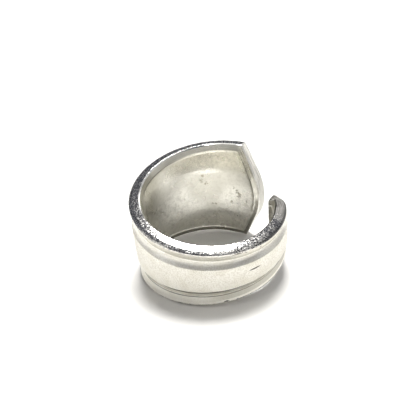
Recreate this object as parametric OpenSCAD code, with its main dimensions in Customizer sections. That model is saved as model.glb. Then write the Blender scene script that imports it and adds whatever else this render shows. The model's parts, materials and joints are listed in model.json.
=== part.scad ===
// Spoon ring: the flat handle of a small spoon, cut off at its narrow end and bent
// edge to edge round a finger, lying on its side as it comes to rest by itself.
// Angles run anticlockwise round the finger, seen from above, from +X.

/* [Finger hole] */
// Inside diameter of the ring
bore_d = 17.35; // [15:0.05:21]

/* [Handle width] */
// Width of the handle at its wide shoulders
width_shoulder = 15.6; // [13:0.1:17]
// Width of the handle a third of the way round
width_back = 12.5; // [11:0.1:13]
// Width of the handle two thirds of the way round
width_front = 8.9; // [8:0.1:10]
// Width of the handle just before the cut end
width_cut = 7.0; // [6.5:0.1:8]

/* [Wide tip] */
// Angle round the finger of the corner where the shoulder starts
corner_angle = 52.2; // [45:0.1:60]
// Slope of the straight shoulders from square across the handle
shoulder_slope = 30; // [20:1:35]
// Radius of the rounded nose between the shoulders
nose_r = 8; // [6:0.1:9]

/* [Cut end] */
// Angle round the finger at which the cut end starts to narrow
trim_angle = 345; // [335:1:350]
// Angle round the finger of the cut face
cut_angle = 377; // [370:0.5:380]
// Width of the cut face after its corners are filed round
cut_face_w = 3.2; // [2:0.1:4]
// How deep the inner corner of the cut end is filed away
cut_relief_d = 0.35; // [0.1:0.05:0.5]
// Length over which the inner wall is filed away before the cut face
cut_relief_l = 1; // [0.5:0.1:1.5]
// Width and depth of the soft corner round the cut face
cut_soften = 0.25; // [0.1:0.05:0.4]

/* [Thickness] */
// Thickness from the finger hole to the outer corner of a long edge
edge_t = 1.72; // [1.4:0.01:2]
// Height of the middle field's edge above that corner
field_rise = 0.14; // [0.1:0.01:0.35]
// Extra height of the middle field along its centre line
field_crown = 0.06; // [0:0.01:0.2]
// Depth of the border below that corner beside the bead
border_dip = 0.13; // [0.05:0.01:0.2]
// Depth of the fine grooves beside the bead
groove_dip = 0.29; // [0.2:0.01:0.35]

/* [Border] */
// Distance from the edge to the raised middle field, where the handle is 8.3 mm wide
field_inset = 2.43; // [2.2:0.01:2.7]
// Distance from the edge to the bead, where the handle is 8.3 mm wide
bead_inset = 1.42; // [1.2:0.01:1.6]
// Width of the bead between its two grooves
bead_w = 0.2; // [0.1:0.01:0.3]
// Share by which the border widens with the handle
border_growth = 0.75; // [0.3:0.05:1]

/* [Edges] */
// Width of the soft outer corner of the edge
outer_soften = 0.36; // [0.2:0.01:0.5]
// How much further out the inner corner of the edge lies than the outer one
edge_flare = 0.32; // [0.1:0.01:0.4]
// How much the edge face is crowned
edge_crown = 0.06; // [0:0.01:0.1]
// Width of the bevel along the inner wall
inner_bevel_w = 0.95; // [0.6:0.05:1.2]
// Depth of the bevel along the inner wall
inner_bevel_d = 0.19; // [0.1:0.01:0.25]

/* [Rest] */
// Lean of the ring towards -Y, as it lies on its side
lean_front = 9.89; // [0:0.01:15]
// Lean of the ring towards -X, as it lies on its side
lean_side = 2.73; // [0:0.01:10]

/* [Hidden] */

bore_r = bore_d / 2;
edge_r = bore_r + edge_t;
inner_edge_r = bore_r + inner_bevel_d;

// The four widths are this far apart, from this angle on
width_angle = 50;
width_step = 100;
// The border's distances are stated for this half width
border_half = 4.15;

// Numbers of steps between sections: the cut end, the long edge, a shoulder and half the nose
trim_steps = 9;
long_steps = 78;
shoulder_steps = 6;
nose_steps = 6;

function mix(a, b, t) = a + (b - a) * t;
// Length along the outer edge to degrees round the finger
function turn(l) = l / edge_r * 180 / PI;

// Half the handle's width, a cubic curve through the four stated widths
function cubic(t, a, b, c, d) =
    -a * (t - 1) * (t - 2) * (t - 3) / 6 + b * t * (t - 2) * (t - 3) / 2
    - c * t * (t - 1) * (t - 3) / 2 + d * t * (t - 1) * (t - 2) / 6;
function half_width(angle) =
    cubic((angle - width_angle) / width_step, width_shoulder, width_back, width_front, width_cut) / 2;

// The corners of the cut end are filed round: 0 where that starts and 1 at the cut face
trim_power = 1.7;
relief_power = 0.7;
function filed(angle) = max(0, (angle - trim_angle) / (cut_angle - trim_angle));
function outline_half(angle) = mix(half_width(angle), cut_face_w / 2, pow(filed(angle), trim_power));

// The border widens with the handle
function growth(angle) = 1 + border_growth * (half_width(angle) / border_half - 1);

// Outline of the tip, in lengths round the finger from its nose and in height
corner_half = half_width(corner_angle);
corner_growth = growth(corner_angle);
nose_end = [nose_r * (1 - cos(shoulder_slope)), nose_r * sin(shoulder_slope)];
corner_end = [nose_end[0] + (corner_half - nose_end[1]) * tan(shoulder_slope), corner_half];
nose_angle = corner_angle - turn(corner_end[0]);

// Lines at one distance from the outline meet on the corner's mitre
square_in = [cos(shoulder_slope), -sin(shoulder_slope)];
down_shoulder = [-sin(shoulder_slope), -cos(shoulder_slope)];
edge_fall = corner_half - half_width(corner_angle + turn(1));
mitre_run = (1 - sin(shoulder_slope)) / (cos(shoulder_slope) + edge_fall * sin(shoulder_slope));
mitre_slide = (cos(shoulder_slope) - mitre_run) / sin(shoulder_slope);

// The tip's sections end on the centre line, spread from under the mitre to near the nose
field_corner = field_inset * corner_growth;
spread_from = corner_angle + turn(field_corner * mitre_run);
nose_spread = 0.8;
spread_to = nose_angle + turn(field_corner + nose_spread);
// Long sections lean into the mitre over this length
lean_in = turn(9);

// A section runs inwards from a point on the outline. Its columns: angle and height of that
// point, run round the finger and fall in height for each mm inwards, growth of the border,
// angle where the section meets the centre line, share of the end's filing, depth of the soft
// corner round the cut face. A long section has no fall, because its heights follow the outline.
ANGLE = 0;
HEIGHT = 1;
RUN = 2;
FALL = 3;
GROWTH = 4;
CENTRE = 5;
FILING = 6;
SOFT = 7;
function long_section(angle, soft) = let (
    lean = pow(max(0, 1 - (angle - corner_angle) / lean_in), 2)
) [
    angle, outline_half(angle), mitre_run * lean, undef, growth(angle),
    angle + (spread_from - corner_angle) * lean, pow(filed(angle), relief_power), soft
];
function tip_section(from, inward, share) = [
    nose_angle + turn(from[0]), from[1], inward[0], inward[1], corner_growth,
    mix(spread_from, spread_to, share), 0, 0
];
function shoulder_section(t) = tip_section(
    mix(corner_end, nose_end, t),
    square_in + (1 - t) * mitre_slide * down_shoulder,
    t * shoulder_steps / (shoulder_steps + nose_steps)
);
function nose_section(t) = let (slope = shoulder_slope * (1 - t)) tip_section(
    [nose_r * (1 - cos(slope)), nose_r * sin(slope)],
    [cos(slope), -sin(slope)],
    (shoulder_steps + t * nose_steps) / (shoulder_steps + nose_steps)
);
soft_angle = cut_angle - turn(cut_soften);
sections = [
    long_section(cut_angle, cut_soften),
    for (i = [0:trim_steps - 1]) long_section(mix(soft_angle, trim_angle, i / trim_steps), 0),
    for (i = [0:long_steps - 1]) long_section(mix(trim_angle, corner_angle, i / long_steps), 0),
    for (i = [0:shoulder_steps]) shoulder_section(i / shoulder_steps),
    for (i = [1:nose_steps]) nose_section(i / nose_steps)
];

// The outer face from its corner inwards. Its columns: distance from the outline, which grows
// with the border, and radius.
field_r = edge_r + field_rise;
border_r = edge_r - border_dip;
groove_r = edge_r - groove_dip;
cove_start = bead_inset + bead_w / 2;
// The cove rises slowly from the bead and steeply to the field
cove_power = 1.8;
function cove(t) = [mix(cove_start, field_inset, t), mix(groove_r, field_r, pow(t, cove_power))];
face_rows = [
    [outer_soften, edge_r],
    [bead_inset - bead_w, border_r],
    [bead_inset - bead_w / 2, groove_r + 0.04],
    [bead_inset, border_r - 0.03],
    cove(0),
    cove(0.4),
    cove(0.75),
    cove(1),
    [field_inset + 0.15, field_r + 0.02]
];

// The edge from its outer corner to its inner one. Its columns: distance inwards from the
// outline, and share of the way in from the outer face to the inner corner.
edge_rows = [
    [outer_soften / 3, 0.02],
    [0, 0.07],
    [-edge_flare / 2 - edge_crown, 0.5],
    [-edge_flare, 0.92],
    [0.1 - edge_flare, 1]
];

// The inner wall is left this much too thick, for the finger hole to cut
wall_spare = 0.08;
wall_r = bore_r - wall_spare;
wall_inset = 0.1 - edge_flare + inner_bevel_w * (1 + wall_spare / inner_bevel_d);

// Number of rows from the centre line to the middle field's edge
field_rows = 3;
// Rows that the filing has taken away lie this far apart along the filed edge
row_gap = 0.02;

function at(angle, height, r) = [r * cos(angle), r * sin(angle), height];

// Angle and height of the point that lies this far inwards on a section
function inwards(section, inset) = let (angle = section[ANGLE] + turn(section[RUN] * inset))
    [angle, section[FALL] == undef ? outline_half(angle) - inset : section[HEIGHT] + section[FALL] * inset];

// The same on the outer face, where a distance is from the outline as it was before the filing
function face_place(section, k) = let (
    inset = face_rows[k][0] * section[GROWTH],
    place = inwards(section, inset),
    height = place[1] + half_width(place[0]) - outline_half(place[0]),
    filed_height = outline_half(place[0]) - outer_soften - row_gap * k
) [place[0], section[FALL] == undef ? min(height, filed_height) : place[1]];
function face_radius(section, place, k) = section[FALL] == undef
    ? lookup((half_width(place[0]) - place[1]) / section[GROWTH], face_rows)
    : face_rows[k][1];

function half_section(section) = let (
    face = [for (k = [0:len(face_rows) - 1]) let (place = face_place(section, k))
        [place[0], place[1], face_radius(section, place, k) - section[SOFT]]],
    field = face[len(face) - 1],
    relief = section[FILING] * cut_relief_d,
    wall = inwards(section, wall_inset),
    near_face = max(0, 1 - (cut_angle - section[ANGLE]) / turn(cut_relief_l)),
    wall_end_r = mix(wall_r, bore_r + cut_relief_d, near_face)
) [
    for (k = [0:field_rows - 1]) let (t = k / field_rows)
        at(mix(section[CENTRE], field[0], t), field[1] * t, field[2] + field_crown * (1 - t * t)),
    for (k = [len(face) - 1:-1:0]) at(face[k][0], face[k][1], face[k][2]),
    for (row = edge_rows) let (place = inwards(section, row[0]))
        at(place[0], place[1], mix(face[0][2], inner_edge_r + relief, row[1])),
    at(wall[0], wall[1], wall_end_r),
    at(section[CENTRE], 0, wall_end_r)
];

halves = [for (section = sections) half_section(section)];
half_n = len(halves[0]) - 1;
loop_n = 2 * half_n;
last = len(halves) - 1;

// Each section is a loop: its upper half, then the lower half as the mirror image
band_points = [
    for (half = halves) each [
        each half,
        for (k = [half_n - 1:-1:1]) [half[k][0], half[k][1], -half[k][2]]
    ]
];
// Both halves of the last section lie on the centre line and share its points
function index(i, k) = let (j = k % loop_n) i * loop_n + (i == last && j > half_n ? loop_n - j : j);
band_faces = [
    for (i = [0:last - 1], k = [0:loop_n - 1]) each [
        [index(i, k), index(i + 1, k + 1), index(i, k + 1)],
        [index(i, k), index(i + 1, k), index(i + 1, k + 1)]
    ],
    for (k = [0:half_n - 3]) each [
        [index(0, k), index(0, k + 1), index(0, half_n - 1)],
        [index(0, loop_n - k - 1), index(0, loop_n - k), index(0, half_n + 1)]
    ],
    [index(0, 0), index(0, half_n - 1), index(0, half_n)],
    [index(0, 0), index(0, half_n), index(0, half_n + 1)]
];

// Where a point of the upright ring lies at rest, before the ring is set on its foot
function leant(p) = let (
    y = p[1] * cos(lean_front) - p[2] * sin(lean_front),
    z = p[1] * sin(lean_front) + p[2] * cos(lean_front)
) [p[0] * cos(lean_side) - z * sin(lean_side), y, p[0] * sin(lean_side) + z * cos(lean_side)];
leant_points = [for (p = band_points) leant(p)];
low = [for (axis = [0:2]) min([for (p = leant_points) p[axis]])];
high = [for (axis = [0:2]) max([for (p = leant_points) p[axis]])];
foot = [(low[0] + high[0]) / 2, (low[1] + high[1]) / 2, low[2]];

module ring_band() {
    color("silver")
    translate(-foot)
    rotate([lean_front, -lean_side, 0])
    difference() {
        polyhedron(points = band_points, faces = band_faces, convexity = 6);
        cylinder(h = 2 * width_shoulder, r = bore_r, center = true, $fn = 180);
    }
}

ring_band();
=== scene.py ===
import json
import math
from collections import namedtuple

import bpy
import numpy as np
from mathutils import Euler, Matrix, Vector


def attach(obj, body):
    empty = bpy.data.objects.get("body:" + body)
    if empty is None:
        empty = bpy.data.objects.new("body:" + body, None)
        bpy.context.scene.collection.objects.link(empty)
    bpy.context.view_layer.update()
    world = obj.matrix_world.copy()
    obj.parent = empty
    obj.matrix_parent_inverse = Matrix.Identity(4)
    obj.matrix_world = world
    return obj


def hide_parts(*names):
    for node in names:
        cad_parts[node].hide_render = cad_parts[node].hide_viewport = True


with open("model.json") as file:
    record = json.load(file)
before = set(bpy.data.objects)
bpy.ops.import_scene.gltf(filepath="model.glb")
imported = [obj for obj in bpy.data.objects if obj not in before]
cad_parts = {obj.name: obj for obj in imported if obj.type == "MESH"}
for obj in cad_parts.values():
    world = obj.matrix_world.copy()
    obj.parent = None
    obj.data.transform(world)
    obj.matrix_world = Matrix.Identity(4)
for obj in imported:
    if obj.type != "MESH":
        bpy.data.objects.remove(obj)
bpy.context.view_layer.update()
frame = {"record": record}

# Sizes are in millimetres. Angles are in degrees and run anticlockwise round the finger, seen
# from above, from +X of the upright ring. An inset is a distance in from the band's long edge.
MM = 0.001

# The finger hole, and the radii of the edge's outer corner and of the bevel at its foot
bore = frame["record"]["mounts"][0]
BORE_CENTRE = Vector(bore["pos_m"])
BORE_AXIS = Vector(bore["axis"]).normalized()
BORE_R = bore["dims"]["r_mm"]
EDGE_R = BORE_R + 1.72
INNER_EDGE_R = BORE_R + 0.19

# The handle's widths at four even steps of the angle, the first at the tip's shoulders
WIDTHS = (15.6, 12.5, 8.9, 7.0)
WIDTH_ANGLE, WIDTH_STEP = 50.0, 100.0

# The tip: its rounded nose, how much less it is bent than the rest, the length over which the
# sections lean into the mitre at its corners, how far past the field's inset they meet at the
# nose, and the height below which both sides take on the same profile there
NOSE_ANGLE, NOSE_R = 34.52, 8.0
TIP_ANGLE, TIP_OUT = 66.0, 0.3
MITRE_LENGTH = 9.0
NOSE_SPREAD = 0.8
NOSE_BLEND = 4.5
TIP_CHAMFER = (0.08, 0.26)

# The cut end: where its filing starts and how fast it narrows, its face, the rounding of the
# face's outer corner, and how much its inner corner is filed away, over what length
TRIM_ANGLE, CUT_ANGLE, TRIM_POWER = 345.0, 377.0, 1.7
CUT_FACE_W, CUT_ROUND = 3.2, 0.25
RELIEF_D, RELIEF_L, RELIEF_POWER = 0.35, 1.0, 0.7
# The blunt ridge filed on its upper edge: where it starts, and its place and its rise as shares
# of the edge's thickness and slope
RIDGE_ANGLE, RIDGE_PLACE, RIDGE_RISE = 362.0, 0.42, 0.26

# The outer face: the plain field with its crown, the bead and the groove beside it, and how far
# the border's width follows the handle's
FIELD_INSET, FIELD_RISE, FIELD_CROWN = 2.36, 0.18, 0.015
BEAD_W, BEAD_H, GROOVE_W = 0.16, 0.045, 0.04
BORDER_HALF, BORDER_GROWTH, BORDER_EVEN = 4.15, 0.75, 0.6
# Insets at which the face's profile is worked out, and how far it is smoothed
PROFILE_STEP = 0.0025
PROFILE_INSETS = np.arange(0.0, 4.0, PROFILE_STEP)
PROFILE_SPREAD, PROFILE_REACH = 0.014, 0.06

# The edge: angles over which it gains its flat facet, angles between which it bulges, depth of
# its knee, radii of its bends from the outer corner to the inner wall, and the step at its foot
FACET_FROM, FACET_TO = 130.0, 175.0
SAG_FROM, SAG_TO = 60.0, 160.0
KNEE_D = 1.05
CORNER_IN, CORNER_SHARE = 0.12, 0.6
BEND_RADII = (0.04, 0.05, 0.25, 0.3, 0.04, 0.06, 0.08, 0.04)
LEAST_REACH = 0.02
STEP_D, STEP_LANDING = 0.08, 0.3

# The inner wall: height where it starts to open outwards, how fast, and how softly
WALL_BEND, WALL_FLARE, WALL_SOFTEN = 3.55, 0.09, 0.15

# What differs between the upper and the lower side of the band
UPPER = {
    # Slope of the tip's shoulder in degrees, and angles between which the edge becomes the tip's
    "slope": 30.0, "crest": (80.0, 94.0),
    # Bulge of the edge, slope of the cut end's ridge, and the share of the wall's opening that
    # the outer face follows
    "sag": 0.0, "ridge": 1.25, "open": 1.0,
    # Rounding of the face's corner, width and fall of the lip, and insets of bead and field
    "soften": 0.28, "lip_w": 0.1, "lip_d": 0.0, "bead": 1.36, "field": 2.42,
    # Depth of the border and of the groove inside the bead, and the power of the cove's curve
    "border_dip": 0.22, "groove_dip": 0.42, "cove_power": 1.6,
    # How far the edge leans outwards, and where it has its facet, the inset and depth of each
    # of its two outer bends and of the facet's end
    "flare": 0.35, "corner": (0.13, 0.02, 0.01, 0.18), "facet": (-0.145, 0.58),
    # Run and depth of the finger hole's corner, width and depth of the bevel, run of the step
    "chamfer": (0.16, 0.18), "bevel_w": 0.95, "bevel_d": 0.14, "step_w": 0.35,
}
LOWER = {
    "slope": 26.0, "crest": (53.0, 62.0),
    "sag": 0.25, "ridge": 0.0, "open": 0.0,
    "soften": 0.06, "lip_w": 0.16, "lip_d": 0.08, "bead": 1.27, "field": 2.31,
    "border_dip": 0.34, "groove_dip": 0.58, "cove_power": 2.6,
    "flare": 0.32, "corner": (-0.06, 0.0, -0.12, 0.06), "facet": (-0.17, 0.5),
    "chamfer": (0.04, 0.035), "bevel_w": 0.66, "bevel_d": 0.05, "step_w": 0.16,
}

# Density of the mesh: sections round the cut end's corner, over its filing, along the handle,
# along a shoulder and round half the nose
ROUND_STEPS, TRIM_STEPS, LONG_STEPS, SHOULDER_STEPS, NOSE_STEPS = 6, 50, 260, 40, 30
CORNER_PASSES = 8
# Rows over the field, then over the lip, border, bead, cove and the field's rim, and where the
# close rows start and end beside the bead and beside the field
FIELD_ROWS = 7
FACE_ROWS = (4, 5, 16, 11, 8)
BEAD_BEFORE, BEAD_AFTER, FIELD_BEFORE, FIELD_AFTER = 0.21, 0.13, 0.09, 0.17
ROW_GAP = 0.004
# Rows round a bend of the edge: the rim has four bends, and the finger hole's corner the next
# one and half of the one after it
BEND_STEPS = 4
RIM_ROWS = 4 * (BEND_STEPS + 1)
CORNER_ROWS = BEND_STEPS + 1 + BEND_STEPS // 2
# Rows over the inner wall, the share of them that is above its bend, and the least share of
# its height that they take
WALL_ROWS, BEND_SHARE, LEAST_BEND = 15, 0.6, 0.02

# Materials by zone of the surface
OUTER, RIM, CORNER, INNER = 0, 1, 2, 3

# Light of the room, and of soft patches laid over it: azimuth from +Y towards +X, elevation,
# radius where the patch is full and where it ends, and its light
ROOM_LIGHT = (0.11, 0.115, 0.135)
STUDIO_PATCHES = (
    (0, -90, 91, 103, (0.70, 0.69, 0.67)),
    (100, 50, 15, 48, (0.55, 0.55, 0.55)),
    (48, 16, 6, 24, (1.6, 1.6, 1.6)),
    (180, 5, 15, 42, (0.46, 0.45, 0.43)),
    (100, 27, 8, 24, (0.74, 0.74, 0.73)),
    (-105, 27, 10, 30, (0.72, 0.72, 0.71)),
    (7, 77, 7, 12, (40.0, 40.0, 40.0)),
)

# Oval places on the unrolled band: middle along the handle, height, half length and half width.
# Lighter and darker ones of the inner wall, painted light and shade for its reflections, come with their
# colours.
INNER_PAINTED_LIGHT = (
    ((14.5, 5.8, 8.0, 2.2), (0.92, 0.89, 0.80)),
    ((8.6, -1.4, 6.4, 3.8), (1.0, 0.985, 0.92)),
    ((20.3, -1.6, 6.3, 3.8), (1.0, 0.985, 0.92)),
    ((14.5, -5.8, 9.0, 2.0), (0.84, 0.82, 0.75)),
    ((15.9, 0.6, 4.2, 3.4), (0.63, 0.615, 0.555)),
    ((15.4, 3.5, 3.2, 0.6), (0.97, 0.955, 0.90)),
)
WORN_PLACES = (
    (16.6, 1.95, 0.42, 0.5), (15.75, 1.4, 0.5, 0.36), (16.3, 2.7, 0.3, 0.3),
    (10.8, 0.75, 0.26, 0.3), (10.2, 0.15, 0.36, 0.5), (9.9, -0.45, 0.62, 0.5),
    (14.5, -2.45, 0.5, 0.26), (11.3, -1.95, 0.26, 0.5), (8.4, -1.2, 0.26, 0.26),
)
# Nicks along the lower border, scuffs along the upper one, a notch across the rim, and a
# scratch along the field
BORDER_NICKS = (
    (48.9, -4.2, 0.3, 0.14), (49.6, -4.12, 0.4, 0.22), (50.4, -4.2, 0.3, 0.18),
    (51.1, -4.14, 0.45, 0.2), (51.9, -4.16, 0.3, 0.16), (54.6, -3.95, 0.3, 0.16),
)
BORDER_SCUFFS = ((51.3, 3.66, 0.7, 0.08), (52.4, 3.47, 0.3, 0.06), (54.75, 3.2, 0.3, 0.08))
RIM_NOTCH = (14.22, 7.2, 0.13, 3.0)
SCRATCH = (53.55, 0.42, 0.95, 0.13)

# Bands across the border and the inner wall, by inset: where each starts and is full, and where
# it fades and ends
LOWER_BORDER = (0.26, 0.40, 1.18, 1.24)
BEAD_LINE = (0.98, 1.05, 1.12, 1.18)
GROOVE_BAND = (1.31, 1.38, 1.60, 1.82)
COVE_BAND = (1.32, 1.4, 1.6, 1.9)
WALL_STEP = (0.54, 0.64, 0.68, 0.80)
# Lengths along the handle over which one colour or finish turns into another: the tip's end face is at 6
# to
# 10, the back at 16, the left at 33, the front at 49, the right at 65 and the cut face at 68
TIP_FACE = (9.9, 9.2)
TIP_EDGE = (10.5, 9.5)
TIP_CORNER, BACK_CORNER = (10.4, 9.8), (9.8, 10.4, 13.6, 16.0)
ROUGH_CORNER, RIGHT_CORNER = (16.4, 13.8), (53.0, 57.0)
BACK_STEP, LEFT_STEP = (11.0, 9.0), (17.0, 22.0)
TIP_BEVEL, BACK_BEVEL = (9.2, 10.2), (30.0, 20.0)
LEFT_BORDER, FRONT_BORDER = (47.0, 41.0), (46.0, 50.5)
RIM_PITS, RIM_OUTLINE = (49.6, 52.0, 59.0, 60.4), (52.0, 56.0)
RIM_BLOTCHES, RIM_OUTER = (55.0, 57.5), (55.5, 58.0)
BEFORE_FILING, FILING, FILING_DARK = (60.4, 59.4), (59.4, 60.6), (65.0, 60.5)
END_EDGE, END_LINE = (61.5, 64.5), (68.02, 68.2)

# Colours of the metal, of the tarnish and wear on it, and of painted shade, by material
OUTER_TONES = {
    "clean": (0.93, 0.915, 0.86), "stain": (0.88, 0.86, 0.79), "grain": (0.72, 0.69, 0.61),
    "dull": (0.42, 0.40, 0.34), "tarnish": (0.15, 0.14, 0.11), "nick": (0.07, 0.065, 0.05),
    "scuff": (0.16, 0.14, 0.11), "scratch": (0.08, 0.07, 0.05),
}
RIM_TONES = {
    "clean": (0.78, 0.76, 0.72), "pits": (0.42, 0.41, 0.40), "streak": (0.36, 0.35, 0.33),
    "blotch": (0.30, 0.30, 0.32), "end": (0.53, 0.51, 0.47), "end_streak": (0.27, 0.26, 0.24),
    "end_dark": (0.17, 0.165, 0.155), "outline": (0.10, 0.10, 0.095),
    "deep_pit": (0.03, 0.03, 0.04), "outer": (0.12, 0.12, 0.125), "tip_top": (0.92, 0.90, 0.84),
    "tip": (0.63, 0.62, 0.575), "tip_streak": (0.40, 0.39, 0.36), "notch": (0.95, 0.94, 0.9),
}
CORNER_TONES = {
    "clean": (0.95, 0.94, 0.91), "grain": (0.70, 0.69, 0.66), "right": (0.07, 0.065, 0.055),
    "back": (0.14, 0.137, 0.125), "tip": (0.62, 0.61, 0.565),
}
INNER_TONES = {
    "clean": (0.73, 0.715, 0.655), "cloud": (0.68, 0.665, 0.60), "grain": (0.58, 0.565, 0.50),
    "mottle": (0.50, 0.485, 0.42), "step": (0.2, 0.19, 0.16), "bevel": (0.24, 0.235, 0.215),
    "lower_bevel": (0.25, 0.24, 0.20), "tip": (0.30, 0.29, 0.26), "smudge": (0.34, 0.32, 0.25),
}
# Colour of the dark line round the cut end and along the outer edge beside it
END_DARK_TONE = (0.12, 0.115, 0.10)
FLOOR_TONE = (0.97, 0.955, 0.92)

# The camera: where it looks, in metres, how far away it is, its angles and its lens
CAMERA_AIM, CAMERA_DISTANCE = (-0.00018, 0.0, 0.00946), 0.0862
CAMERA_AZIMUTH, CAMERA_ELEVATION, CAMERA_ROLL = 185.04, 27.51, 2.46
CAMERA_LENS, CAMERA_SENSOR, CAMERA_NEAR = 54.75, 36.0, 0.005


def mix(a, b, t):
    return a + (b - a) * t


def smooth(t):
    t = np.clip(t, 0.0, 1.0)
    return t * t * (3.0 - 2.0 * t)


def turn(length):
    """Length along the outer edge to degrees round the finger."""
    return np.degrees(length / EDGE_R)


def half_width(angle):
    """Half the handle's width before its cut end is filed: a cubic through the four widths."""
    t = (angle - WIDTH_ANGLE) / WIDTH_STEP
    a, b, c, d = WIDTHS
    cubic = (-a * (t - 1) * (t - 2) * (t - 3) / 6 + b * t * (t - 2) * (t - 3) / 2
             - c * t * (t - 1) * (t - 3) / 2 + d * t * (t - 1) * (t - 2) / 6)
    return cubic / 2


def filed(angle):
    """0 where the filing of the cut end starts, 1 at the cut face."""
    return np.clip((angle - TRIM_ANGLE) / (CUT_ANGLE - TRIM_ANGLE), 0.0, None)


def outline_half(angle):
    """Half the band's width."""
    return mix(half_width(angle), CUT_FACE_W / 2, filed(angle) ** TRIM_POWER)


def edge_half(side, angle):
    """Half the band's width, with the bulge of this side's edge."""
    t = np.clip((angle - SAG_FROM) / (SAG_TO - SAG_FROM), 0, 1)
    return outline_half(angle) + side["sag"] * np.sin(math.pi * t) ** 2


def growth(angle):
    """How much wider the border is here than where its insets are stated, as a factor."""
    return 1 + BORDER_GROWTH * (half_width(angle) / BORDER_HALF - 1)


def wall_flare(level):
    """How far the wall opens outwards at this height."""
    past = np.clip(level - WALL_BEND, 0, None)
    return WALL_FLARE * past * past / (past + WALL_SOFTEN)


def face_profile(side):
    """Radius of the outer face at each of the profile's insets, from its corner to the field."""
    bead, dip = side["bead"], side["border_dip"]
    groove = bead + GROOVE_W
    line = np.array([
        (side["soften"], 0.0),
        (side["soften"] + side["lip_w"], -side["lip_d"]),
        (bead - BEAD_W, -dip),
        (bead - BEAD_W / 2, BEAD_H - dip),
        (bead, BEAD_H - dip),
        (groove, -side["groove_dip"]),
    ])
    rise = np.interp(PROFILE_INSETS, line[:, 0], line[:, 1])
    cove_t = np.clip((PROFILE_INSETS - groove) / (side["field"] - groove), 0, 1)
    rise += (FIELD_RISE + side["groove_dip"]) * cove_t ** side["cove_power"]
    reach = np.arange(-PROFILE_REACH, PROFILE_REACH + PROFILE_STEP / 2, PROFILE_STEP)
    kernel = np.exp(-0.5 * (reach / PROFILE_SPREAD) ** 2)
    padded = np.pad(rise, len(reach) // 2, mode="edge")
    return EDGE_R + np.convolve(padded, kernel / kernel.sum(), mode="valid")


def face_rows(side):
    """Insets of the rows over the outer face, close together where it bends."""
    lip = side["soften"] + side["lip_w"]
    bead, field = side["bead"], side["field"]
    stops = (side["soften"], lip, bead - BEAD_BEFORE, bead + BEAD_AFTER,
             field - FIELD_BEFORE, field + FIELD_AFTER)
    spans = zip(stops, stops[1:], FACE_ROWS)
    insets = [np.linspace(start, end, rows, endpoint=False) for start, end, rows in spans]
    return np.concatenate([*insets, stops[-1:]])


def rounded(points):
    """A line through points, with each of its bends rounded."""
    line = [np.array(points[0])]
    for before, corner, after, radius in zip(points, points[1:], points[2:], BEND_RADII):
        before, corner, after = (np.array(p) for p in (before, corner, after))
        into, out = corner - before, after - corner
        into, out = into / np.linalg.norm(into), out / np.linalg.norm(out)
        bend = math.acos(max(-1.0, min(1.0, float(into @ out))))
        reach = max(radius * math.tan(bend / 2), LEAST_REACH)
        start, end = corner - reach * into, corner + reach * out
        for t in np.linspace(0, 1, BEND_STEPS + 1):
            line.append((1 - t) ** 2 * start + 2 * t * (1 - t) * corner + t * t * end)
    line.append(np.array(points[-1]))
    return np.array(line)


def edge_line(side, facet):
    """Inset and radius from the outer face's corner round the edge to the inner wall. The
    share of the facet is 0 where the edge is plain and 1 where it has its flat facet."""
    slope = side["flare"] / (EDGE_R - INNER_EDGE_R)
    top_in, top_d, corner_in, corner_d = side["corner"]
    facet_in, facet_d = side["facet"]
    chamfer_in, chamfer_d = side["chamfer"]
    plain_in = min(CORNER_IN, side["soften"] * CORNER_SHARE) - slope * corner_d
    bevel_r = BORE_R + side["bevel_d"]
    bevel_in = chamfer_in - slope * (EDGE_R - bevel_r - chamfer_d)
    foot = side["bevel_w"] - side["flare"]
    landing = foot + side["step_w"]
    return rounded([
        (side["soften"], EDGE_R),
        (mix(plain_in, top_in, facet), EDGE_R - top_d * facet),
        (mix(-slope * corner_d, corner_in, facet), EDGE_R - corner_d),
        (mix(-slope * facet_d, facet_in, facet), EDGE_R - facet_d),
        (-slope * KNEE_D, EDGE_R - KNEE_D),
        (bevel_in - chamfer_in, bevel_r + chamfer_d),
        (bevel_in, bevel_r),
        (foot, BORE_R),
        (landing, BORE_R + STEP_D),
        (landing + STEP_LANDING, BORE_R + STEP_D),
    ])


# One value of each kind for every section of the band: where it starts on the edge, its change
# of length and of height for each millimetre inwards, how much wider the border is there, the
# angle where it ends, its share of the filing, how much the cut face's rounding takes off, and
# 1 where it starts on a long edge, 0 on the tip
Sections = namedtuple("Sections", "angle height run fall growth centre filing soft is_long")


def nose_point(slope):
    """Distance from the nose's apex, and height, where the nose has turned by this slope."""
    return np.array([NOSE_R * (1 - math.cos(slope)), NOSE_R * math.sin(slope)])


def shoulder_corner(tilt):
    """Angle of the corner where a straight shoulder meets the long edge, and its distance from
    the nose's apex and its height."""
    nose_end = nose_point(tilt)
    angle = NOSE_ANGLE
    for _ in range(CORNER_PASSES):
        half = half_width(angle)
        run = nose_end[0] + (half - nose_end[1]) * math.tan(tilt)
        angle = NOSE_ANGLE + turn(run)
    return angle, np.array([run, half])


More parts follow.
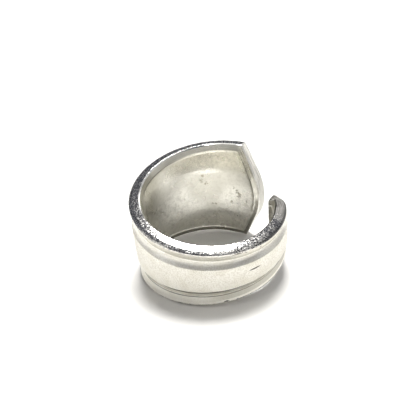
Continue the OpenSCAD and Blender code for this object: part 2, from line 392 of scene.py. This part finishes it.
def make_sections(side):
    """The sections from the cut face along the handle to the tip's shoulder and its nose."""
    tilt = math.radians(side["slope"])
    corner_angle, corner_end = shoulder_corner(tilt)
    corner_growth = growth(corner_angle)
    edge_fall = corner_end[1] - half_width(corner_angle + turn(1.0))
    mitre_run = (1 - math.sin(tilt)) / (math.cos(tilt) + edge_fall * math.sin(tilt))
    mitre_slide = (math.cos(tilt) - mitre_run) / math.sin(tilt)
    centre_from = corner_angle + turn(FIELD_INSET * corner_growth * mitre_run)
    centre_to = NOSE_ANGLE + turn(FIELD_INSET * corner_growth + NOSE_SPREAD)

    round_t = np.linspace(0, math.pi / 2, ROUND_STEPS, endpoint=False)
    face = CUT_ANGLE - turn(CUT_ROUND) * (1 - np.cos(round_t))
    trim = np.linspace(CUT_ANGLE - turn(CUT_ROUND), TRIM_ANGLE, TRIM_STEPS, endpoint=False)
    handle = np.linspace(TRIM_ANGLE, corner_angle, LONG_STEPS, endpoint=False)
    angle = np.concatenate([face, trim, handle])
    lean = np.clip(1 - (angle - corner_angle) / turn(MITRE_LENGTH), 0, 1) ** 2
    long_rows = np.column_stack([
        angle, outline_half(angle), mitre_run * lean, np.zeros_like(angle), growth(angle),
        angle + (centre_from - corner_angle) * lean, filed(angle) ** RELIEF_POWER,
        np.pad(CUT_ROUND * (1 - np.sin(round_t)), (0, len(trim) + len(handle))), np.ones_like(angle),
    ])

    def tip_row(start, inward, share):
        return [NOSE_ANGLE + turn(start[0]), start[1], *inward, corner_growth,
                mix(centre_from, centre_to, share), 0, 0, 0]

    tip_rows = []
    tip_steps = SHOULDER_STEPS + NOSE_STEPS
    square_in = np.array([math.cos(tilt), -math.sin(tilt)])
    down_shoulder = np.array([-math.sin(tilt), -math.cos(tilt)])
    for k in range(SHOULDER_STEPS + 1):
        t = k / SHOULDER_STEPS
        inward = square_in + (1 - t) * mitre_slide * down_shoulder
        tip_rows.append(tip_row(mix(corner_end, nose_point(tilt), t), inward, k / tip_steps))
    for k in range(1, NOSE_STEPS + 1):
        slope = tilt * (1 - k / NOSE_STEPS)
        inward = (math.cos(slope), -math.sin(slope))
        tip_rows.append(tip_row(nose_point(slope), inward, (SHOULDER_STEPS + k) / tip_steps))
    return Sections(*np.vstack([long_rows, tip_rows]).T)


def inwards(side, cuts, inset):
    """Angle and height of each section's point at this inset."""
    at = cuts.angle + turn(cuts.run * inset)
    level = np.where(cuts.is_long > 0, edge_half(side, at) - inset, cuts.height + cuts.fall * inset)
    return at, level


def nose_share(cuts):
    """1 at the nose's apex, where the profiles of both sides are the same, and 0 above it."""
    return smooth(1 - cuts.height / NOSE_BLEND) * (cuts.is_long == 0)


def ridge_slope(side, cuts):
    """How steeply each section's edge falls on both sides of the ridge."""
    return side["ridge"] * smooth((cuts.angle - RIDGE_ANGLE) / (CUT_ANGLE - RIDGE_ANGLE))


def face_columns(side, cuts):
    """The outer face's points: angle, height, radius and inset, from its middle to its corner."""
    meet = nose_share(cuts)
    soften = mix(side["soften"], UPPER["soften"], meet)
    corner_drop = soften + ridge_slope(side, cuts) * (RIDGE_PLACE - RIDGE_RISE)
    near_profile, far_profile = face_profile(side), face_profile(UPPER)
    rim = []
    for k, (near_inset, far_inset) in enumerate(zip(face_rows(side), face_rows(UPPER))):
        base = mix(near_inset, far_inset, meet)
        inset = base * mix(1.0, cuts.growth, smooth((base - soften) / BORDER_EVEN))
        at, level = inwards(side, cuts, inset)
        lost = np.where(cuts.is_long > 0, half_width(at) - outline_half(at), 0.0)
        highest = edge_half(side, at) - corner_drop - ROW_GAP * k
        level = np.where(cuts.is_long > 0, np.minimum(level + lost, highest), level)
        from_edge = np.where(lost > 0, (half_width(at) - level) / cuts.growth, base)
        near_r = np.interp(from_edge, PROFILE_INSETS, near_profile)
        far_r = np.interp(from_edge, PROFILE_INSETS, far_profile)
        radius = mix(near_r, far_r, meet) + side["open"] * wall_flare(level) - cuts.soft
        rim.append(np.column_stack([at, level, radius, from_edge]))
    field = []
    at, level, radius, inset = rim[-1].T
    for t in np.arange(FIELD_ROWS) / FIELD_ROWS:
        crown = FIELD_CROWN * (1 - t * t)
        field.append(np.column_stack([
            mix(cuts.centre, at, t), level * t, radius + crown, inset + level * (1 - t)]))
    return field + rim[::-1]


def edge_columns(side, cuts):
    """The edge's points, from the outer face's corner to the step of the inner wall."""
    meet, ridge = nose_share(cuts), ridge_slope(side, cuts)
    facet = smooth((cuts.angle - FACET_FROM) / (FACET_TO - FACET_FROM))
    crest_from, crest_to = side["crest"]
    at_tip = smooth((crest_to - cuts.angle) / (crest_to - crest_from))
    near_face = np.clip(1 - (CUT_ANGLE - cuts.angle) / turn(RELIEF_L), 0, 1)
    least_r = mix(BORE_R, BORE_R + RELIEF_D, near_face)
    lines = (
        edge_line(side, 0.0), edge_line(side, 1.0),
        edge_line({**UPPER, "soften": side["soften"], "chamfer": TIP_CHAMFER}, 0.0),
        edge_line({**UPPER, "chamfer": TIP_CHAMFER}, 0.0),
    )
    columns = []
    for row in zip(*(line[1:] for line in lines)):
        plain, flat, tip, nose = (point[:, None] for point in row)
        inset, base_r = mix(mix(plain, flat, facet), mix(tip, nose, meet), at_tip)
        share = np.clip((EDGE_R - base_r) / (EDGE_R - INNER_EDGE_R), 0, 1)
        bevel = np.clip((base_r - BORE_R) / (INNER_EDGE_R - BORE_R), 0, 1)
        inset = inset + ridge * (np.abs(share - RIDGE_PLACE) - RIDGE_RISE)
        at, level = inwards(side, cuts, inset)
        radius = base_r - cuts.soft * (1 - share) + cuts.filing * RELIEF_D * share * bevel
        radius += mix(side["open"], 1.0, share) * wall_flare(level)
        columns.append(np.column_stack([at, level, np.maximum(radius, least_r), inset]))
    return columns


def wall_columns(cuts, start):
    """The inner wall's points, from past its step to its middle."""
    at, level, radius, inset = start.T
    # The nose's apex is at height 0, where the wall has no bend
    bent_level = np.where(level == 0, WALL_BEND, level)
    bend_t = np.clip(1 - WALL_BEND / bent_level, LEAST_BEND, 1)
    columns = []
    for share in np.arange(1, WALL_ROWS + 1) / WALL_ROWS:
        if share <= BEND_SHARE:
            t = bend_t * share / BEND_SHARE
        else:
            t = mix(bend_t, 1.0, (share - BEND_SHARE) / (1 - BEND_SHARE))
        row_level = level * (1 - t)
        row_r = radius - wall_flare(level) + wall_flare(row_level)
        columns.append(np.column_stack([mix(at, cuts.centre, t), row_level, row_r, inset + level * t]))
    return columns


def band_points(side):
    """Points of one side of every section, from the middle of the outer face to the middle of
    the inner wall, and the zone of each row."""
    cuts = make_sections(side)
    face, edge = face_columns(side, cuts), edge_columns(side, cuts)
    points = np.stack([*face, *edge, *wall_columns(cuts, edge[-1])], axis=1)
    zones = [OUTER] * len(face) + [RIM] * RIM_ROWS + [CORNER] * CORNER_ROWS
    return points, zones + [INNER] * (points.shape[1] - len(zones))


def band_loops():
    """Every section as a closed loop of points, its upper side first, and the zones of a loop."""
    upper, zones = band_points(UPPER)
    lower, _ = band_points(LOWER)
    loops = np.concatenate([upper, lower[:, -2:0:-1] * [1, -1, 1, 1]], axis=1)
    tip_t = np.clip(TIP_ANGLE - loops[..., 0], 0, None) / (TIP_ANGLE - NOSE_ANGLE)
    loops[..., 2] += TIP_OUT * tip_t ** 2
    return loops, zones + zones[-2:0:-1]


def band_faces(sections, zones):
    """Faces between the loops and over the cut face, with the zone of each. The last loop is
    the nose's apex, where the lower side has the points of the upper one."""
    count = len(zones)
    rows = count // 2 + 1

    def index(section, k):
        k %= count
        if section == sections - 1 and k >= rows:
            k = count - k
        return section * count + k

    faces, face_zones = [], []
    for i in range(sections - 1):
        for k in range(count):
            quad = [index(i, k), index(i, k + 1), index(i + 1, k + 1), index(i + 1, k)]
            faces.append(list(dict.fromkeys(quad)))
            pair = (zones[k], zones[(k + 1) % count])
            face_zones.append(next((zone for zone in (RIM, CORNER) if zone in pair), pair[0]))
    cut_face = [[k, count - k, count - k - 1, k + 1] for k in range(1, rows - 2)]
    cut_face += [[0, count - 1, 1], [rows - 2, rows, rows - 1]]
    return faces + cut_face, face_zones + [RIM] * len(cut_face)


def ring_matrix():
    """Place of the upright ring in the row frame, from the finger hole's place and lean."""
    lean_front = math.asin(-BORE_AXIS.y)
    lean_side = math.atan2(-BORE_AXIS.x, BORE_AXIS.z)
    return Matrix.Translation(BORE_CENTRE) @ Euler((lean_front, -lean_side, 0)).to_matrix().to_4x4()


def make_band(material_of_zone):
    """The whole ring as one mesh. Its points carry measures in millimetres for the materials:
    length along the handle, height, inset, depth under the edge's outer corner, and margin to
    the long edge."""
    loops, zones = band_loops()
    faces, face_zones = band_faces(len(loops), zones)
    angle, level, radius, inset = np.moveaxis(loops, -1, 0)
    theta = np.radians(angle)
    points = np.stack([radius * np.cos(theta), radius * np.sin(theta), level], axis=-1)
    used = sorted({vertex for face in faces for vertex in face})
    renumber = {vertex: n for n, vertex in enumerate(used)}

    mesh = bpy.data.meshes.new("silver_band")
    mesh.from_pydata((points.reshape(-1, 3)[used] * MM).tolist(), [],
                     [[renumber[vertex] for vertex in face] for face in faces])
    for material in material_of_zone:
        mesh.materials.append(material)
    mesh.polygons.foreach_set("material_index", face_zones)
    mesh.polygons.foreach_set("use_smooth", [True] * len(faces))
    measures = {
        "along": angle * math.radians(EDGE_R), "across": level, "inset": inset,
        "depth": EDGE_R - radius, "margin": outline_half(angle) - np.abs(level),
    }
    for name, values in measures.items():
        layer = mesh.attributes.new(name, "FLOAT", "POINT")
        layer.data.foreach_set("value", values.reshape(-1)[used].astype(np.float32))
    mesh.transform(ring_matrix())
    mesh.validate()
    band = bpy.data.objects.new("silver_band", mesh)
    bpy.context.scene.collection.objects.link(band)
    return band


class Nodes:
    """Makes the nodes of one tree. A value is a number, a colour or another node's output."""

    def __init__(self, tree):
        self.tree = tree

    def add(self, kind, inputs, **settings):
        """A new node with its inputs and settings."""
        node = self.tree.nodes.new(kind)
        for name, value in settings.items():
            setattr(node, name, value)
        for name, value in inputs.items():
            socket = node.inputs[name]
            if isinstance(value, bpy.types.NodeSocket):
                self.tree.links.new(value, socket)
            elif socket.type == "RGBA":
                socket.default_value = (*value, 1)
            else:
                socket.default_value = value
        return node

    def maths(self, operation, a, b):
        return self.add("ShaderNodeMath", {0: a, 1: b}, operation=operation).outputs["Value"]

    def times(self, product, *values):
        for value in values:
            product = self.maths("MULTIPLY", product, value)
        return product

    def ranged(self, value, low, high, to_low=0.0, to_high=1.0):
        """A value brought smoothly from one range, which may run downwards, to another."""
        inputs = {"Value": value, "From Min": low, "From Max": high, "To Min": to_low, "To Max": to_high}
        return self.add("ShaderNodeMapRange", inputs, interpolation_type="SMOOTHSTEP").outputs["Result"]

    def between(self, value, rise_from, rise_to, fall_from, fall_to):
        """1 inside a range and 0 outside it, with smooth sides."""
        return self.times(self.ranged(value, rise_from, rise_to), self.ranged(value, fall_to, fall_from))

    def blend(self, share, a, b, data_type="FLOAT"):
        """One value turned into another by a share from 0 to 1."""
        inputs = {"Factor": share, "A": a, "B": b}
        return self.add("ShaderNodeMix", inputs, data_type=data_type).outputs["Result"]

    def blend_colour(self, share, a, b):
        return self.blend(share, a, b, "RGBA")


class Silver(Nodes):
    """A silver material in the making: the colour painted so far, and the bumps so far."""

    def __init__(self, name, colour):
        self.material = bpy.data.materials.new(name)
        self.material.use_nodes = True
        super().__init__(self.material.node_tree)
        self.colour = colour
        self.bumps = {}

    def measure(self, name):
        """One of the measures that the band's points carry."""
        return self.add("ShaderNodeAttribute", {}, attribute_name=name).outputs["Fac"]

    def noise(self, vector, scale, detail):
        inputs = {"Vector": vector, "Scale": scale, "Detail": detail}
        return self.add("ShaderNodeTexNoise", inputs).outputs["Fac"]

    def grains(self, scale, detail=2.0):
        """Noise with this many grains a metre."""
        return self.noise(self.add("ShaderNodeTexCoord", {}).outputs["Object"], scale, detail)

    def streaks(self, lengthwise, length, crosswise, lines, detail=2.0):
        """Noise drawn out to this length along one measure, with this many lines for each
        millimetre of the other."""
        along = self.maths("DIVIDE", lengthwise, length)
        across = self.maths("MULTIPLY", crosswise, lines)
        vector = self.add("ShaderNodeCombineXYZ", {"X": along, "Y": across}).outputs["Vector"]
        return self.noise(vector, 1.0, detail)

    def oval(self, place, softness=0.9, wobble=0.0):
        """1 in the middle of an oval place on the unrolled band, 0 outside it."""
        away = wobble
        for name, middle, half in zip(("along", "across"), place[:2], place[2:]):
            offset = self.maths("DIVIDE", self.maths("SUBTRACT", self.measure(name), middle), half)
            away = self.maths("ADD", self.times(offset, offset), away)
        return self.ranged(away, 1.0, 1.0 - softness)

    def paint(self, share, colour):
        """Lays a colour over the colour so far."""
        self.colour = self.blend_colour(share, self.colour, colour)

    def bump(self, height, depth):
        """Adds bumps of this depth in metres to the bumps so far."""
        inputs = {"Height": height, "Distance": depth, "Strength": 1.0, **self.bumps}
        self.bumps = {"Normal": self.add("ShaderNodeBump", inputs).outputs["Normal"]}

    def finish(self, roughness):
        """The material, with its colour, roughness and bumps led to its shader."""
        shader = self.tree.nodes["Principled BSDF"]
        shader.inputs["Metallic"].default_value = 1.0
        for name, value in {"Base Color": self.colour, "Roughness": roughness, **self.bumps}.items():
            self.tree.links.new(value, shader.inputs[name])
        return self.material


def dark_end_line(look, along):
    """A dark line round the cut end and along the outer edge beside it."""
    outer = look.ranged(look.measure("depth"), 0.26, 0.12)
    edge = look.ranged(look.measure("margin"), 0.34, 0.2)
    beside = look.times(outer, edge, look.ranged(along, *END_EDGE, 0.0, 0.85))
    line = look.ranged(along, *END_LINE, 0.0, 0.45)
    look.paint(look.maths("MAXIMUM", line, beside), END_DARK_TONE)


def outer_silver():
    """Satin field and smoother border, brushed along the handle, with tarnish in the grooves,
    painted shade on the borders, nicks and scuffs along the borders, and one short scratch."""
    tones = OUTER_TONES
    look = Silver("outer_silver", tones["clean"])
    along, across, inset = (look.measure(name) for name in ("along", "across", "inset"))
    below = look.ranged(across, 0.0, -1.0)
    above = look.maths("SUBTRACT", 1.0, below)

    # Faint stains all over, and a grain that is weaker low on the field
    look.paint(look.ranged(look.grains(500.0, 3.0), 0.4, 0.65), tones["stain"])
    grain = look.grains(5500.0, 3.0)
    speckle = look.ranged(grain, 0.38, 0.66, 0.0, 0.6)
    look.paint(look.times(speckle, look.ranged(across, 0.0, -2.0, 1.0, 0.35)), tones["grain"])

    # Painted shade: the upper border darkens towards its bead, more at the left, and so does the
    # cove's foot, partly as tarnish in that hollow. The lower border is painted darker in front.
    border = look.blend(look.ranged(inset, 0.7, 1.02), look.ranged(along, *LEFT_BORDER, 0.3, 0.5), 0.75)
    border = look.times(border, look.ranged(inset, 1.24, 1.18))
    cove = look.times(look.between(inset, *COVE_BAND), 0.4)
    look.paint(look.times(look.maths("ADD", border, cove), above), tones["dull"])
    front = look.ranged(along, *FRONT_BORDER, 0.1, 0.62)
    look.paint(look.times(front, look.between(inset, *LOWER_BORDER), below), tones["dull"])

    # Tarnish in the lower groove, and in a fine line at the foot of the bead
    lines = look.maths("MAXIMUM", look.between(inset, *GROOVE_BAND), look.between(inset, *BEAD_LINE))
    look.paint(look.times(lines, below, 0.85), tones["tarnish"])

    ragged = look.ranged(look.grains(3500.0, 3.0), 0.3, 0.7, -0.8, 0.8)
    for place in BORDER_NICKS:
        look.paint(look.oval(place, 0.7, ragged), tones["nick"])
    for place in BORDER_SCUFFS:
        look.paint(look.oval(place, 0.7, ragged), tones["scuff"])
    look.paint(look.oval(SCRATCH, 0.6), tones["scratch"])
    dark_end_line(look, along)

    look.bump(look.streaks(along, 2.5, across, 4.0), 0.00002)
    look.bump(grain, 0.000012)
    on_field = look.ranged(inset, FIELD_INSET - 0.15, FIELD_INSET + 0.05)
    satin = look.blend(on_field, look.blend(below, 0.34, 0.55), look.blend(below, 0.68, 0.78))
    return look.finish(look.maths("ADD", satin, look.ranged(grain, 0.3, 0.7, -0.05, 0.05)))


def rim_silver():
    """The sawn edge: rough, with pits that hold tarnish, and filed at both ends of the handle."""
    tones = RIM_TONES
    look = Silver("rim_silver", tones["clean"])
    along, across, depth = (look.measure(name) for name in ("along", "across", "depth"))
    before_filing = look.ranged(along, *BEFORE_FILING)
    pits = look.grains(3000.0)
    look.paint(look.ranged(pits, 0.52, 0.66), tones["pits"])
    look.paint(look.ranged(look.streaks(along, 2.5, depth, 6.0), 0.5, 0.6, 0.0, 0.7), tones["streak"])
    blotches = look.ranged(look.grains(1500.0, 3.0), 0.46, 0.53, 0.0, 1.7)
    blotchy = look.ranged(along, *RIM_BLOTCHES, 0.0, 0.5)
    look.paint(look.times(blotches, blotchy, before_filing), tones["blotch"])

    # The filing of the cut end starts in a ragged line and is dark there
    end_streaks = look.ranged(look.streaks(along, 1.6, depth, 8.0, 3.0), 0.40, 0.60)
    end = look.blend_colour(end_streaks, tones["end"], tones["end_streak"])
    end = look.blend_colour(look.ranged(along, *FILING_DARK, 0.0, 0.85), end, tones["end_dark"])
    ragged_along = look.maths("ADD", along, look.ranged(pits, 0.35, 0.65, -1.3, 1.3))
    filed_end = look.ranged(ragged_along, *FILING)
    look.paint(filed_end, end)

    # At the right, a dark outline, deep pits and a dark outer half
    outline = look.times(look.ranged(depth, 0.34, 0.18), look.ranged(along, *RIM_OUTLINE, 0.0, 0.85))
    look.paint(outline, tones["outline"])
    deep_pits = look.ranged(look.grains(5000.0), 0.51, 0.56, 0.0, 0.96)
    look.paint(look.times(deep_pits, look.between(along, *RIM_PITS)), tones["deep_pit"])
    outer = look.times(look.ranged(depth, 0.75, 0.5, 0.0, 0.5), look.ranged(along, *RIM_OUTER))
    look.paint(look.times(outer, before_filing), tones["outer"])

    # The tip's end face is filed across, and its colour is painted lighter at its top and darker low
    # down as light and shade
    tip_face = look.ranged(along, *TIP_FACE)
    tip = look.blend_colour(look.ranged(across, 5.2, 2.0), tones["tip_top"], tones["tip"])
    tip_streaks = look.ranged(look.streaks(across, 2.5, depth, 7.0, 3.0), 0.47, 0.62, 0.0, 0.8)
    look.paint(look.times(tip_face, 0.95), look.blend_colour(tip_streaks, tip, tones["tip_streak"]))
    look.paint(look.oval(RIM_NOTCH), tones["notch"])
    dark_end_line(look, along)

    look.bump(pits, 0.000025)
    sawn = look.ranged(look.grains(4600.0, 1.0), 0.42, 0.64, 0.14, 0.30)
    return look.finish(look.blend(look.maths("MAXIMUM", filed_end, tip_face), sawn, 0.5))


def corner_silver():
    """The rolled corner of the finger hole: rubbed bright, painted darker at the right, behind and
    at the tip as shade that dims its highlight there, and rougher behind, towards the tip."""
    tones = CORNER_TONES
    look = Silver("corner_silver", tones["clean"])
    along = look.measure("along")
    grain = look.grains(3000.0)
    look.paint(look.ranged(grain, 0.5, 0.66), tones["grain"])
    # Painted shade that dims the corner's reflected highlight at the right, behind and at the tip
    look.paint(look.ranged(along, *RIGHT_CORNER, 0.0, 0.95), tones["right"])
    look.paint(look.times(look.between(along, *BACK_CORNER), 0.86), tones["back"])
    look.paint(look.ranged(along, *TIP_CORNER, 0.0, 0.6), tones["tip"])
    look.bump(grain, 0.00001)
    rubbed = look.ranged(grain, 0.4, 0.7, 0.08, 0.14)
    return look.finish(look.blend(look.ranged(along, *ROUGH_CORNER), rubbed, 0.40))


def inner_silver():
    """The worn inside: satin, with painted light and shade in places and along its step and bevels, and
    small dark smudges.
    """
    tones = INNER_TONES
    look = Silver("inner_silver", tones["clean"])
    along, across, inset = (look.measure(name) for name in ("along", "across", "inset"))
    upper = look.ranged(across, -0.5, 0.5)
    lower = look.maths("SUBTRACT", 1.0, upper)
    cloud, grain, mottle = look.grains(300.0, 4.0), look.grains(4500.0, 3.0), look.grains(1900.0, 4.0)
    look.paint(look.ranged(cloud, 0.35, 0.7), tones["cloud"])
    # Painted light and shade: lighter patches for reflected lit floor, darker ones for shaded floor, and
    # a painted highlight along the wall's bend
    for place, shade in INNER_PAINTED_LIGHT:
        look.paint(look.oval(place), shade)
    look.paint(look.ranged(grain, 0.35, 0.7, 0.0, 0.3), tones["grain"])
    look.paint(look.ranged(mottle, 0.45, 0.7, 0.0, 0.35), tones["mottle"])

    # Painted shade: a dark line along the upper step, where it faces down, and a darker bevel above,
    # behind and at the wall's foot; streaks of filing darken the bevel at the tip
    left_step = look.ranged(along, *LEFT_STEP, 0.2, 0.95)
    back_step = look.ranged(along, *BACK_STEP, 0.0, 0.8)
    step = look.times(look.between(inset, *WALL_STEP), look.maths("MAXIMUM", left_step, back_step))
    look.paint(look.times(step, upper), tones["step"])
    behind = look.times(look.ranged(along, *BACK_BEVEL, 0.4, 1.0), look.ranged(along, *TIP_BEVEL))
    look.paint(look.times(look.ranged(inset, 0.62, 0.5, 0.0, 0.75), behind, upper), tones["bevel"])
    look.paint(look.times(look.ranged(inset, 0.46, 0.24, 0.0, 0.9), lower), tones["lower_bevel"])
    filing = look.ranged(look.streaks(across, 3.0, inset, 7.0), 0.42, 0.62)
    tip_edge = look.times(look.ranged(inset, 0.7, 0.5, 0.0, 0.55), look.ranged(along, *TIP_EDGE))
    look.paint(look.times(filing, tip_edge), tones["tip"])

    wobble = look.ranged(look.grains(2600.0, 3.0), 0.3, 0.7, -0.7, 0.9)
    for place in WORN_PLACES:
        look.paint(look.times(look.oval(place, 0.9, wobble), 0.8), tones["smudge"])

    look.bump(look.grains(420.0), 0.00003)
    look.bump(mottle, 0.000012)
    look.bump(look.streaks(along, 3.0, across, 5.0), 0.000008)
    return look.finish(look.ranged(cloud, 0.3, 0.7, 0.26, 0.31))


def make_floor():
    """The pale surface that the ring lies on."""
    bpy.ops.mesh.primitive_plane_add(size=2.0, location=(0, 0, 0))
    floor = bpy.context.object
    floor.name = "floor"
    material = bpy.data.materials.new("pale_floor")
    material.use_nodes = True
    shader = material.node_tree.nodes["Principled BSDF"]
    shader.inputs["Base Color"].default_value = (*FLOOR_TONE, 1)
    shader.inputs["Roughness"].default_value = 0.9
    shader.inputs["Specular IOR Level"].default_value = 0.1
    floor.data.materials.append(material)


def direction(azimuth, elevation):
    """Unit vector at this azimuth from +Y towards +X and this elevation, in degrees."""
    a, e = math.radians(azimuth), math.radians(elevation)
    return Vector((math.sin(a) * math.cos(e), math.cos(a) * math.cos(e), math.sin(e)))


def make_world():
    """A studio seen by direction: a grey room with soft patches of light."""
    world = bpy.data.worlds.new("studio")
    bpy.context.scene.world = world
    world.use_nodes = True
    studio = Nodes(world.node_tree)
    seen = studio.add("ShaderNodeTexCoord", {}).outputs["Generated"]
    light = ROOM_LIGHT
    for azimuth, elevation, inner, outer, patch_light in STUDIO_PATCHES:
        sides = {0: seen, 1: direction(azimuth, elevation)}
        facing = studio.add("ShaderNodeVectorMath", sides, operation="DOT_PRODUCT").outputs["Value"]
        share = studio.ranged(facing, math.cos(math.radians(outer)), math.cos(math.radians(inner)))
        light = studio.blend_colour(share, light, patch_light)
    studio.tree.links.new(light, studio.tree.nodes["Background"].inputs["Color"])


def make_camera():
    """The photograph's camera: close in front, looking down on the leaning ring."""
    back = direction(CAMERA_AZIMUTH, CAMERA_ELEVATION)
    data = bpy.data.cameras.new("camera")
    data.sensor_width = CAMERA_SENSOR
    data.lens = CAMERA_LENS
    data.clip_start = CAMERA_NEAR
    camera = bpy.data.objects.new("camera", data)
    place = Matrix.Translation(Vector(CAMERA_AIM) + back * CAMERA_DISTANCE)
    look = (-back).to_track_quat("-Z", "Y").to_matrix().to_4x4()
    camera.matrix_world = place @ look @ Matrix.Rotation(-math.radians(CAMERA_ROLL), 4, "Z")
    bpy.context.scene.collection.objects.link(camera)
    bpy.context.scene.camera = camera


bpy.context.scene.view_settings.view_transform = "Standard"
make_camera()
make_world()
make_floor()
band = make_band([outer_silver(), rim_silver(), corner_silver(), inner_silver()])
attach(band, "root")
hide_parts("ring_band")
